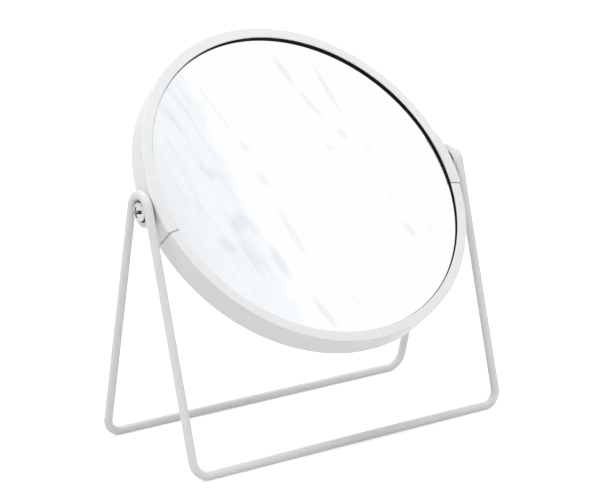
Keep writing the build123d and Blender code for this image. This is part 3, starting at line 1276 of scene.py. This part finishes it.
@dataclass
class MirrorPair:
    """The two glasses and the dark seals between them and the rim."""

    head: Head
    magnifying_radius: float = 900.0
    lip: float = 0.3
    lip_tip: float = 0.1
    lip_below_face: float = 0.35
    edge: float = 0.25
    seat_lean: float = 0.25
    edge_margin: float = 1.0
    seal_rounds: tuple[float, ...] = (0.04, 0.04, 0.0, 0.1, 0.08, 0.08, 0.0, 0.05)
    sectors: int = 240
    rings_across: int = 33

    def sunk(self, face: Face, radius: np.ndarray, angle: np.ndarray) -> np.ndarray:
        """How much deeper than its nominal place the front glass lies, for its seat leans a little.

        It is the lean times the height up the face over the glass's radius; the rear glass sits
        square.

        Args:
            face: Which face of the head.
            radius: Distances from the head's axis.
            angle: Angles from the right pivot.

        Returns:
            Depth at each place.
        """
        lean = self.seat_lean if face is Face.FRONT else 0.0
        return lean * radius * np.sin(angle) / self.head.glass_radius

    def bowl(self, radius: np.ndarray) -> np.ndarray:
        """How far the magnifying face lies inward of its own edge.

        It is the root of the sphere's radius squared less the radius squared, less the same at
        the glass's edge.

        Args:
            radius: Distances from the head's axis.

        Returns:
            Depth at each distance.
        """
        sphere = self.magnifying_radius ** 2
        return np.sqrt(sphere - radius ** 2) - math.sqrt(sphere - self.head.glass_radius ** 2)

    def pane(self, name: str, face: Face) -> bpy.types.Object:
        """One glass: its outline turned about the head's axis, bowed inward on the rear one.

        Args:
            name: Name of the piece.
            face: Which face of the head.

        Returns:
            The piece.
        """
        front, back, edge = self.head.mirror_face, self.head.glass_back, self.head.glass_radius
        corners = [(0.0, front), (edge, front), (edge, back), (0.0, back)]
        rim_edge = rounded_outline(corners, [0, self.edge, self.edge, 0], closed=False,
                                   step_degrees=22.5)[1:-1]
        steps = np.linspace(0.0, 1.0, self.rings_across)[:-1] * (edge - self.edge_margin)
        outline = np.concatenate([
            np.stack([steps, np.full_like(steps, front)], axis=-1), rim_edge,
            np.stack([steps[::-1], np.full_like(steps, back)], axis=-1)])
        radius, depth = outline[:, 0], outline[:, 1].copy()
        if face is Face.REAR:
            depth = depth - self.bowl(radius)
        angle = np.linspace(0.0, 2 * math.pi, self.sectors, endpoint=False)[:, None]
        rings = self.head.ring(radius, angle, face.value * (depth - self.sunk(face, radius, angle)))
        return make_piece(name, rings, grid_faces(*rings.shape[:2], True, False),
                          sharp_degrees=30.0)

    def seal(self, name: str, face: Face) -> bpy.types.Object:
        """One seal: tapered lip, foot and skirt in one closed outline turned about the head's axis.

        Its foot is squeezed to follow the glass: a point takes part in the glass's lean by its
        share of the way from the channel's side wall to the glass.

        Args:
            name: Name of the piece.
            face: Which face of the head.

        Returns:
            The piece.
        """
        head = self.head
        opening, top = head.opening_radius, head.half_depth - self.lip_below_face
        # The black lip shows in the glass as a dark crescent: painted shade for the rim flange's
        # shaded underside.
        outline = rounded_outline([
            (opening - self.lip_tip, top), (opening, top),
            (opening, head.channel_half_depth), (head.skirt_radius, head.channel_half_depth),
            (head.skirt_radius, head.glass_back), (head.glass_radius, head.glass_back),
            (head.glass_radius, head.mirror_face), (opening - self.lip, head.mirror_face),
        ], self.seal_rounds, step_degrees=30.0, guard=0.01)
        angle = np.linspace(0.0, 2 * math.pi, self.sectors, endpoint=False)[:, None]
        radius, depth = outline[:, 0], outline[:, 1]
        share = np.clip((head.channel_half_depth - depth) / head.seal_foot, 0.0, 1.0)
        depth = depth - share * self.sunk(face, radius, angle)
        rings = head.ring(head.dropped(radius, angle), angle, face.value * depth)
        return make_piece(name, rings, grid_faces(*rings.shape[:2], True, True))

    def build(self, glass: bpy.types.Material, rubber: bpy.types.Material) -> None:
        """Builds and dresses the glasses and the seals.

        Args:
            glass: Finish of the glasses.
            rubber: Finish of the seals.
        """
        for kind, face in (("flat", Face.FRONT), ("magnifying", Face.REAR)):
            pane = self.pane(f"{kind}_glass", face)
            hand_over(pane, glass, "head", f"{face.name.lower()}_mirror")
        for face in Face:
            seal = self.seal(f"{face.name.lower()}_seal", face)
            hand_over(seal, rubber, "head", f"{face.name.lower()}_gasket")


# Studio


@dataclass(frozen=True)
class Lamp:
    """A soft rectangular lamp aimed at the middle of the mirror."""

    name: str
    place: tuple[float, float, float]
    size: tuple[float, float]
    power: float

    def build(self, target: tuple[float, float, float]) -> None:
        """Adds the lamp.

        Args:
            target: Point that it is aimed at, in metres.
        """
        data = bpy.data.lights.new(self.name, "AREA")
        data.shape = "RECTANGLE"
        data.size, data.size_y = self.size
        data.energy = self.power
        lamp = bpy.data.objects.new(self.name, data)
        aim = Vector(target) - Vector(self.place)
        turn = aim.to_track_quat("-Z", "Y").to_matrix().to_4x4()
        lamp.matrix_world = Matrix.Translation(self.place) @ turn
        lamp.visible_camera = False
        lamp.visible_glossy = False
        bpy.context.scene.collection.objects.link(lamp)


@dataclass(frozen=True)
class Smear:
    """One soft streak on the reflected card, in millimetres of the glass that shows it."""

    across: float
    up: float
    length: float
    width: float
    lean_degrees: float
    depth: float


@dataclass(frozen=True)
class ReflectedCard:
    """White card with cool brushed streaks, which only the mirrors see.

    It lies parallel to the front glass, where the glass shows it to the camera, so it appears
    enlarged evenly: a place on the glass, times the enlargement, is a place on the card. The
    limits, sizes and smears are millimetres on the glass, across and up from its middle.
    """

    head: Head
    distance: float = 350.0
    white: str = WHITE
    cool: str = "#F6FAFD"
    deep: str = "#DFE9EE"
    cool_limit: float = -43.0
    cool_blend: float = 8.0
    limit_lean_degrees: float = 2.5
    streak_lean_degrees: float = 12.0
    streak_length: float = 34.0
    streak_width: float = 4.5
    cloud_size: float = 16.0
    waver: float = 14.0
    far_start: float = -50.0
    far_end: float = -74.0
    far_depth: float = 0.55
    fibre_low: float = 0.44
    fibre_high: float = 0.74
    fibre_depth: float = 0.75
    smears: tuple[Smear, ...] = (
        Smear(14.5, 62.0, 23.0, 5.2, 13.0, 0.6),
        Smear(21.0, 42.0, 21.0, 4.4, 21.0, 0.5),
        Smear(10.5, 49.0, 38.0, 1.8, 19.0, 0.2),
        Smear(34.3, 48.0, 37.0, 3.6, 7.0, 0.55),
        Smear(31.0, 23.7, 9.0, 5.4, 20.0, 0.5),
        Smear(20.0, 17.5, 5.5, 4.6, 14.0, 0.35),
        Smear(42.0, 13.0, 9.0, 3.8, 16.0, 0.25),
        Smear(42.0, -16.0, 16.0, 2.0, 2.0, 0.18),
        Smear(43.6, -32.5, 13.0, 5.6, 22.0, 0.5),
        Smear(55.5, -34.0, 6.5, 4.0, 20.0, 0.2),
        Smear(-2.0, -64.0, 11.0, 3.6, 14.0, 0.25),
        Smear(-20.5, -23.0, 34.0, 5.2, 8.0, 0.6),
        Smear(-32.3, 46.0, 48.0, 2.6, 16.0, 0.3),
        Smear(-25.7, 24.0, 9.0, 5.6, 18.0, 0.45),
        Smear(-23.4, 5.7, 10.5, 6.4, 18.0, 0.4),
        Smear(-34.0, -36.0, 24.0, 7.0, 10.0, 0.8),
        Smear(-22.0, -65.0, 24.0, 4.9, 18.0, 0.6),
        Smear(-49.0, 13.0, 9.0, 7.0, 5.0, 0.9),
        Smear(-46.0, -14.0, 16.0, 11.2, -35.0, 0.9),
        Smear(-57.0, -24.0, 16.0, 8.4, 35.0, 0.9),
    )

    def build(self, camera_place: Sequence[float]) -> None:
        """Places the card and gives it its pattern.

        The camera's mirror image behind the glass looks at the glass's middle; carried on by the
        card's distance, that line meets the card's middle.

        Args:
            camera_place: Place of the camera, in metres.
        """
        head = self.head
        middle = head.world(0.0, 0.0, head.mirror_face)
        normal = head.world(0.0, 0.0, 1.0) - head.world(0.0, 0.0, 0.0)
        upward = head.world(0.0, 1.0, 0.0) - head.world(0.0, 0.0, 0.0)
        eye = np.array(camera_place) / MM
        eye = eye - 2.0 * ((eye - middle) @ normal) * normal
        depth = float((middle - eye) @ normal)
        enlargement = (depth + self.distance) / depth
        centre = eye + (middle - eye) * enlargement
        card = flat_square("reflected_card", head.rim_radius * enlargement)
        turn = turned_to(np.array([1.0, 0.0, 0.0]), upward, normal)
        card.matrix_world = Matrix.Translation((centre * MM).tolist()) @ turn
        card.data.materials.append(self.pattern(enlargement))
        card.visible_camera = card.visible_diffuse = False
        card.visible_shadow = card.visible_transmission = False

    def streak(self, tree: bpy.types.NodeTree, glass: bpy.types.NodeSocket,
               smear: Smear) -> bpy.types.NodeSocket:
        """Darkness of one smear: an ellipse that fades softly at its edge.

        It has its full depth out to 0.3 of its half length and half width, and is gone at 1.1 of
        them, with a smooth step between.

        Args:
            tree: Node tree to add to.
            glass: Place on the glass, in millimetres.
            smear: The smear.

        Returns:
            The socket with the darkness.
        """
        lean = math.radians(smear.lean_degrees)
        moved = add_node(tree, "ShaderNodeMapping", {"vector_type": "TEXTURE"}, {
            "Vector": glass, "Location": (smear.across, smear.up, 0.0),
            "Rotation": (0.0, 0.0, lean), "Scale": (smear.width / 2, smear.length / 2, 1.0)})
        reach = add_node(tree, "ShaderNodeVectorMath", {"operation": "LENGTH"}, {
            0: moved.outputs["Vector"]})
        fade = add_node(tree, "ShaderNodeMapRange", {"interpolation_type": "SMOOTHSTEP"}, {
            "Value": reach.outputs["Value"], "From Min": 1.1, "From Max": 0.3, "To Min": 0.0,
            "To Max": smear.depth})
        return fade.outputs["Result"]

    def pattern(self, enlargement: float) -> bpy.types.Material:
        """Makes the card's glow.

        Left of a wavering limit the white turns cool, and brushed noise, stretched along the
        streaks, deepens it; the single smears lie on top, roughened by the same noise. Where two
        of these darken a place, the darker one counts.

        Args:
            enlargement: Size of the card's pattern over its size on the glass.

        Returns:
            The material.
        """
        material, tree, output = new_material("brushed_cool_reflection")
        place = add_node(tree, "ShaderNodeTexCoord").outputs["Object"]
        share = per_mm(enlargement)
        glass = add_node(tree, "ShaderNodeMapping", inputs={
            "Vector": place, "Scale": (share, share, share)}).outputs["Vector"]
        lean = math.radians(self.streak_lean_degrees)
        brushed = add_node(tree, "ShaderNodeMapping", {"vector_type": "TEXTURE"}, {
            "Vector": glass, "Rotation": (0.0, 0.0, lean),
            "Scale": (self.streak_width, self.streak_length, 1.0)})
        fibres = add_node(tree, "ShaderNodeTexNoise", inputs={
            "Vector": brushed.outputs["Vector"], "Scale": 1.0, "Detail": 4.0, "Roughness": 0.62})
        clouds = add_node(tree, "ShaderNodeTexNoise", inputs={
            "Vector": glass, "Scale": 1.0 / self.cloud_size, "Detail": 3.0})
        level = add_node(tree, "ShaderNodeMapping", {"vector_type": "TEXTURE"}, {
            "Vector": glass, "Rotation": (0.0, 0.0, math.radians(self.limit_lean_degrees))})
        parts = add_node(tree, "ShaderNodeSeparateXYZ", inputs={0: level.outputs["Vector"]})
        across = parts.outputs["X"]
        waver = add_node(tree, "ShaderNodeMath", {"operation": "MULTIPLY_ADD"}, {
            0: clouds.outputs["Fac"], 1: self.waver, 2: across})
        limit = self.cool_limit + self.waver / 2
        zone = add_node(tree, "ShaderNodeMapRange", {"interpolation_type": "SMOOTHSTEP"}, {
            "Value": waver.outputs["Value"], "From Min": limit + self.cool_blend,
            "From Max": limit, "To Min": 0.0, "To Max": 1.0})
        border = add_node(tree, "ShaderNodeMapRange", {"interpolation_type": "SMOOTHSTEP"}, {
            "Value": across, "From Min": -1.0 * self.head.rim_radius,
            "From Max": -0.98 * self.head.opening_radius})
        inside = add_node(tree, "ShaderNodeMath", {"operation": "MULTIPLY"}, {
            0: zone.outputs["Result"], 1: border.outputs["Result"]})
        grain = add_node(tree, "ShaderNodeMapRange", {"interpolation_type": "SMOOTHSTEP"}, {
            "Value": fibres.outputs["Fac"], "From Min": self.fibre_low,
            "From Max": self.fibre_high, "To Min": 0.0, "To Max": self.fibre_depth})
        far = add_node(tree, "ShaderNodeMapRange", {"interpolation_type": "SMOOTHSTEP"}, {
            "Value": waver.outputs["Value"], "From Min": self.far_start,
            "From Max": self.far_end, "To Min": 0.0, "To Max": self.far_depth})
        deepened = add_node(tree, "ShaderNodeMath", {"operation": "MAXIMUM"}, {
            0: grain.outputs["Result"], 1: far.outputs["Result"]})
        shade_in_zone = add_node(tree, "ShaderNodeMath", {"operation": "MULTIPLY"}, {
            0: deepened.outputs["Value"], 1: inside.outputs["Value"]})
        smeared = None
        for smear in self.smears:
            one = self.streak(tree, glass, smear)
            smeared = one if smeared is None else add_node(
                tree, "ShaderNodeMath", {"operation": "MAXIMUM"}, {
                    0: smeared, 1: one}).outputs["Value"]
        rough = add_node(tree, "ShaderNodeMapRange", inputs={
            "Value": fibres.outputs["Fac"], "From Min": 0.3, "From Max": 0.6,
            "To Min": 0.35, "To Max": 1.0})
        broken = add_node(tree, "ShaderNodeMath", {"operation": "MULTIPLY"}, {
            0: smeared, 1: rough.outputs["Result"]})
        darkness = add_node(tree, "ShaderNodeMath", {"operation": "MAXIMUM"}, {
            0: shade_in_zone.outputs["Value"], 1: broken.outputs["Value"]})
        cooled = add_node(tree, "ShaderNodeMix", {"data_type": "RGBA"}, {
            "Factor": inside.outputs["Value"], "A": linear(self.white), "B": linear(self.cool)})
        tone = add_node(tree, "ShaderNodeMix", {"data_type": "RGBA"}, {
            "Factor": darkness.outputs["Value"], "A": cooled.outputs["Result"],
            "B": linear(self.deep)})
        glow = add_node(tree, "ShaderNodeEmission", inputs={
            "Color": tone.outputs["Result"], "Strength": 1.0})
        tree.links.new(glow.outputs["Emission"], output.inputs["Surface"])
        return material


@dataclass(frozen=True)
class Studio:
    """Pale floor, soft lamps, even surroundings and the photograph's camera.

    Yaw turns the camera from +Y towards +X and pitch lifts it, in radians; its focal length is in
    pixels of the photograph. The lamps' places and sizes are metres.
    """

    camera_place: tuple[float, float, float] = (-0.55268, -0.77367, 0.32717)
    yaw: float = 0.61835
    pitch: float = -0.24829
    roll: float = -0.01117
    focal_px: float = 2057.52
    target: tuple[float, float, float] = (0.0, 0.0, 0.1)
    surroundings: float = 0.14
    floor_paint: str = "#DADADA"
    floor_half: float = 4000.0
    floor_glow_near: float = 0.58
    floor_glow_far: float = 1.0
    floor_near_m: float = 0.15
    floor_far_m: float = 0.6
    lamps: tuple[Lamp, ...] = (
        Lamp("top_softbox", (0.0, 0.1, 1.5), (1.6, 1.6), 14.9),
        Lamp("high_left_softbox", (-1.0, 0.3, 1.2), (0.7, 0.7), 7.0),
        Lamp("back_right_softbox", (1.0, 1.0, 0.9), (0.8, 0.8), 8.8),
        Lamp("right_softbox", (1.3, -0.2, 0.7), (0.8, 1.4), 2.1),
        Lamp("front_right_softbox", (0.7, -1.2, 0.8), (0.8, 0.8), 4.1),
        Lamp("front_softbox", (-0.3, -0.9, 1.3), (0.8, 0.8), 1.4),
        Lamp("low_left_softbox", (-1.1, -0.9, 0.35), (0.6, 0.5), 2.5),
    )

    def camera(self) -> None:
        """Adds the camera: its direction from yaw and pitch, then rolled about it."""
        flat = math.cos(self.pitch)
        forward = np.array([math.sin(self.yaw) * flat, math.cos(self.yaw) * flat,
                            math.sin(self.pitch)])
        level = np.array([math.cos(self.yaw), -math.sin(self.yaw), 0.0])
        upright = np.cross(level, forward)
        cosine, sine = math.cos(self.roll), math.sin(self.roll)
        right, up = cosine * level + sine * upright, cosine * upright - sine * level
        data = bpy.data.cameras.new("photo_camera")
        data.sensor_fit = "HORIZONTAL"
        data.sensor_width = SENSOR_MM
        data.lens = self.focal_px * SENSOR_MM / IMAGE_WIDTH_PX
        camera = bpy.data.objects.new("photo_camera", data)
        camera.matrix_world = (Matrix.Translation(self.camera_place)
                               @ turned_to(right, up, -forward))
        bpy.context.scene.collection.objects.link(camera)
        bpy.context.scene.camera = camera

    def seen_directly(self, tree: bpy.types.NodeTree) -> bpy.types.NodeSocket:
        """1 for rays that the camera sees, also by way of mirrors and glass, 0 for mere light.

        A ray that has left a matt surface counts as light even where a mirror then turns it, or
        the mirrors would throw the white surroundings onto the stand beside them.

        Args:
            tree: Node tree to add to.

        Returns:
            The socket with that number.
        """
        path = add_node(tree, "ShaderNodeLightPath")
        first = add_node(tree, "ShaderNodeMath", {"operation": "MAXIMUM"}, {
            0: path.outputs["Is Camera Ray"], 1: path.outputs["Is Glossy Ray"]})
        both = add_node(tree, "ShaderNodeMath", {"operation": "MAXIMUM"}, {
            0: first.outputs["Value"], 1: path.outputs["Is Transmission Ray"]})
        straight = add_node(tree, "ShaderNodeMath", {"operation": "LESS_THAN"}, {
            0: path.outputs["Diffuse Depth"], 1: 0.5})
        seen = add_node(tree, "ShaderNodeMath", {"operation": "MULTIPLY"}, {
            0: both.outputs["Value"], 1: straight.outputs["Value"]})
        return seen.outputs["Value"]

    def world(self) -> None:
        """Adds the surroundings: white where they are seen, softer where they only light."""
        world = bpy.data.worlds.new("white_studio")
        world.use_nodes = True
        tree = world.node_tree
        tree.nodes.clear()
        seen = add_node(tree, "ShaderNodeBackground", inputs={
            "Color": linear(WHITE), "Strength": 1.0})
        lit = add_node(tree, "ShaderNodeBackground", inputs={
            "Color": linear(WHITE), "Strength": self.surroundings})
        mixed = add_node(tree, "ShaderNodeMixShader", inputs={
            0: self.seen_directly(tree), 1: lit.outputs["Background"],
            2: seen.outputs["Background"]})
        add_node(tree, "ShaderNodeOutputWorld", inputs={"Surface": mixed.outputs["Shader"]})
        bpy.context.scene.world = world

    def floor(self) -> None:
        """Adds the floor: pale paint that keeps the shadow, and a white glow where it is seen.

        The glow grows with the distance from the object, as a smooth step, because the lamps'
        light falls off there; a strength of 1 is white.
        """
        piece = flat_square("studio_floor", self.floor_half)
        material, tree, output = new_material("white_studio_floor")
        paint = add_node(tree, "ShaderNodeBsdfDiffuse", inputs={"Color": linear(self.floor_paint)})
        place = add_node(tree, "ShaderNodeTexCoord").outputs["Object"]
        reach = add_node(tree, "ShaderNodeVectorMath", {"operation": "LENGTH"}, {0: place})
        strength = add_node(tree, "ShaderNodeMapRange", {"interpolation_type": "SMOOTHSTEP"}, {
            "Value": reach.outputs["Value"], "From Min": self.floor_near_m,
            "From Max": self.floor_far_m,
            "To Min": self.floor_glow_near, "To Max": self.floor_glow_far})
        where_seen = add_node(tree, "ShaderNodeMath", {"operation": "MULTIPLY"}, {
            0: strength.outputs["Result"], 1: self.seen_directly(tree)})
        glow = add_node(tree, "ShaderNodeEmission", inputs={
            "Color": linear(WHITE), "Strength": where_seen.outputs["Value"]})
        total = add_node(tree, "ShaderNodeAddShader", inputs={
            0: paint.outputs["BSDF"], 1: glow.outputs["Emission"]})
        tree.links.new(total.outputs["Shader"], output.inputs["Surface"])
        piece.data.materials.append(material)

    def build(self, head: Head) -> None:
        """Builds the whole studio.

        Args:
            head: The head, whose front glass shows the card.
        """
        self.camera()
        self.world()
        self.floor()
        ReflectedCard(head).build(self.camera_place)
        for lamp in self.lamps:
            lamp.build(self.target)
        bpy.context.scene.view_settings.view_transform = "Standard"
        LOG.info("studio: %d lamps", len(self.lamps))


def main() -> None:
    logging.basicConfig(level=logging.INFO, format="%(name)s: %(message)s")
    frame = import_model()
    finishes = Finishes()
    powder_coat = finishes.powder_coat.material()
    nylon = finishes.nylon.material()
    head = Head()
    nickel = finishes.nickel.material(head.pivot_height)

    Studio().build(head)
    hardware = PivotHardware(head)
    WireStand(hardware).build(powder_coat)
    for side in Side:
        hardware.build(side, powder_coat, nickel, nylon)
    ChannelRim(head, hardware).build(finishes.rim.material(), finishes.clip.material())
    MirrorPair(head).build(finishes.glass.material(), finishes.rubber.material())

    zinc = finishes.zinc.material(head.pivot_height)
    for node, material in {"spacer_ring": finishes.spacer.material(), "left_thread_plate": zinc,
                           "right_thread_plate": zinc}.items():
        frame["nodes"][node].data.materials.clear()
        frame["nodes"][node].data.materials.append(material)
        LOG.info("%s: kept from the frame", node)


if __name__ == "__main__":
    main()
